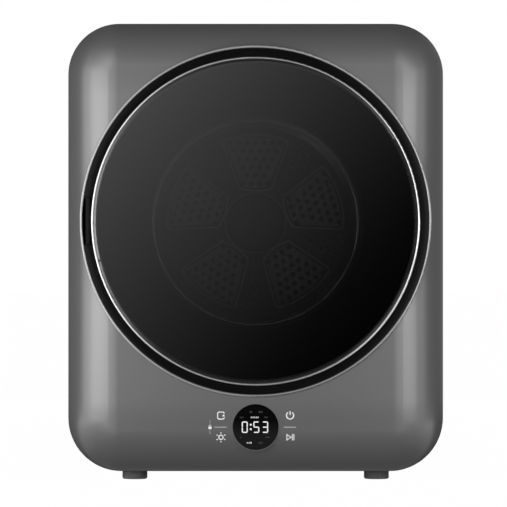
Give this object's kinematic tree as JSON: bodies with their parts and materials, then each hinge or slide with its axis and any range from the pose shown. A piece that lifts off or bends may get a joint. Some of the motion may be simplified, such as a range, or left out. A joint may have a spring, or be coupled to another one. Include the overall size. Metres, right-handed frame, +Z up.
{
  "type": "tumble dryer",
  "caption": "Compact free-standing tumble dryer with rounded dark grey body, round black glass door in a raised collar, and a small round digital display below.",
  "frame": {"origin": "on the ground at the middle of the dryer's box", "axes": "X to the right seen from the front, Y from the front to the back, Z up"},
  "size_m": [0.49, 0.42, 0.597],
  "materials": {
    "body_front": "moulding with a satin dark grey metallic lacquer",
    "body_wrap": "satin dark grey metallic paint",
    "tray_plastic": "fine grained moulding",
    "cover_sheet": "satin paint",
    "foot_rubber": "matt",
    "black_plastic": "fine grained",
    "surround_plastic": "semi gloss",
    "screw_steel": "zinc plated",
    "zinc_sheet": "zinc coated sheet",
    "felt": "pressed felt",
    "glide_plastic": "smooth",
    "cast_metal": "cast",
    "bearing_steel": "ground",
    "hinge_steel": "black coated steel",
    "display_black": "smoked, polished",
    "board_green": "printed board",
    "motor_aluminium": "cast with cooling slots",
    "belt_rubber": "ribbed",
    "duct_plastic": "smooth",
    "heater_aluminium": "plain fins",
    "drum_steel": "stainless",
    "lifter_plastic": "smooth",
    "filter_plastic": "smooth",
    "filter_cloth": "fine mesh",
    "door_glass": "tinted, polished",
    "trim_chrome": "polished",
    "frame_black": "smooth",
    "window_clear": "clear",
    "inner_ring_grey": "semi gloss",
    "gasket_rubber": "matt"
  },
  "bodies": {
    "casing": {"front_panel": "body_front", "door_surround": "surround_plastic", "cabinet_wrap": "body_wrap", "base_tray": "tray_plastic", "foot_front_left": "foot_rubber", "foot_front_right": "foot_rubber", "foot_rear_left": "foot_rubber", "foot_rear_right": "foot_rubber", "rear_cover": "cover_sheet", "cord_gland": "black_plastic", "case_screws": "screw_steel", "front_bulkhead": "zinc_sheet", "front_felt": "felt", "drum_glides": "glide_plastic", "rear_bulkhead": "zinc_sheet", "rear_seal": "felt", "bearing_housing": "cast_metal", "rear_bearing": "bearing_steel", "hinge_bracket": "hinge_steel", "hinge_pin": "bearing_steel", "catch_magnet": "black_plastic", "door_switch": "black_plastic", "display_lens": "display_black", "control_housing": "black_plastic", "display_board": "board_green", "main_board": "board_green", "motor_housing": "motor_aluminium", "motor_bracket": "zinc_sheet", "motor_capacitor": "glide_plastic", "drive_belt": "belt_rubber", "idler_spring": "bearing_steel", "heater_housing": "zinc_sheet", "ptc_heater": "heater_aluminium", "hot_air_duct": "duct_plastic", "rear_duct": "duct_plastic", "blower_housing": "duct_plastic", "exhaust_spigot": "black_plastic"},
    "drum": {"drum_shell": "drum_steel", "drum_back": "drum_steel", "lifter_1": "lifter_plastic", "lifter_2": "lifter_plastic", "lifter_3": "lifter_plastic", "drum_shaft": "bearing_steel"},
    "filter": {"filter_cover": "filter_plastic", "filter_mesh": "filter_cloth"},
    "rotor": {"motor_shaft": "bearing_steel", "blower_wheel": "duct_plastic"},
    "arm": {"idler_arm": "zinc_sheet"},
    "idler": {"idler_pulley": "glide_plastic"},
    "door": {"door_glass": "door_glass", "door_trim_ring": "trim_chrome", "door_frame": "frame_black", "door_window": "window_clear", "door_inner_ring": "inner_ring_grey", "door_gasket": "gasket_rubber", "door_screws": "screw_steel", "hinge_leaf": "hinge_steel", "strike_plate": "hinge_steel"},
    "plunger": {"switch_plunger": "glide_plastic"}
  },
  "joints": [
    {"name": "door_hinge", "type": "hinge", "parent": "casing", "child": "door", "pos_m": [-0.2177, -0.2051, 0.3385], "axis": [0, 0, -1], "range_deg": [0, 105]},
    {"name": "switch_slide", "type": "slide", "parent": "casing", "child": "plunger", "axis": [0, -1, 0], "range_m": [0, 0.003]},
    {"name": "drum_spin", "type": "hinge", "parent": "casing", "child": "drum", "pos_m": [0, 0, 0.3385], "axis": [0, 1, 0], "continuous": true},
    {"name": "motor_spin", "type": "hinge", "parent": "casing", "child": "rotor", "pos_m": [-0.145, 0, 0.095], "axis": [0, 1, 0], "continuous": true},
    {"name": "idler_swing", "type": "hinge", "parent": "casing", "child": "arm", "pos_m": [-0.095, -0.04, 0.045], "axis": [0, -1, 0], "range_deg": [0, 12], "stiffness_Nm_per_rad": 2, "springref_deg": -14.32, "deforming": ["idler_spring"]},
    {"name": "idler_spin", "type": "hinge", "parent": "arm", "child": "idler", "pos_m": [-0.062, -0.058, 0.096], "axis": [0, 1, 0], "continuous": true},
    {"name": "filter_pull", "type": "slide", "parent": "drum", "child": "filter", "axis": [0, -1, 0], "range_m": [0, 0.06]}
  ],
  "couplings": [
    {"joint": "switch_slide", "follows": "door_hinge", "m_per_rad": 0.001637},
    {"joint": "motor_spin", "follows": "drum_spin", "ratio": 23.043},
    {"joint": "idler_spin", "follows": "drum_spin", "ratio": 14.986}
  ]
}
